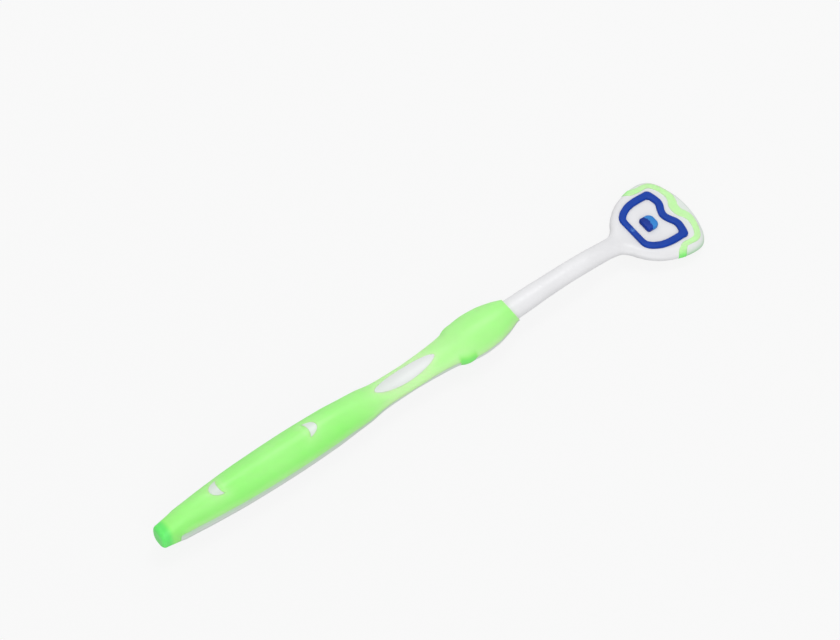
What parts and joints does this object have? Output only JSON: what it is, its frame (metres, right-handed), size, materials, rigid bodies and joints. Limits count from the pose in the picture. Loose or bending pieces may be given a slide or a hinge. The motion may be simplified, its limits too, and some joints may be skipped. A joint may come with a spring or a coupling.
{
  "type": "tongue scraper",
  "caption": "Slim handle with a soft windowed grip over a hard core, widening into an oval head that carries a raised scraping ring and a small cushion.",
  "frame": {"origin": "on the table under the middle of the length, midway between the two long sides; the belly and the underside of the tip touch the table", "axes": "+X along the handle towards the head's tip, +Z out of the face that carries the ring and the thumb window, +Y to the left when looking along +X"},
  "size_m": [0.2008, 0.0304, 0.0148],
  "materials": {
    "white_hard": "satin moulded white polypropylene",
    "green_soft": "smooth, slightly translucent light green soft elastomer",
    "green_thin": "the same soft elastomer in a thin layer, paler over the white",
    "navy_soft": "smooth navy soft elastomer",
    "sky_soft": "smooth sky-blue soft elastomer"
  },
  "bodies": {
    "root": {"core": "white_hard", "handle_grip": "green_soft", "head_band": "green_thin", "scraper_ring": "navy_soft", "nub_rear": "navy_soft", "nub_front": "sky_soft"}
  },
  "joints": []
}
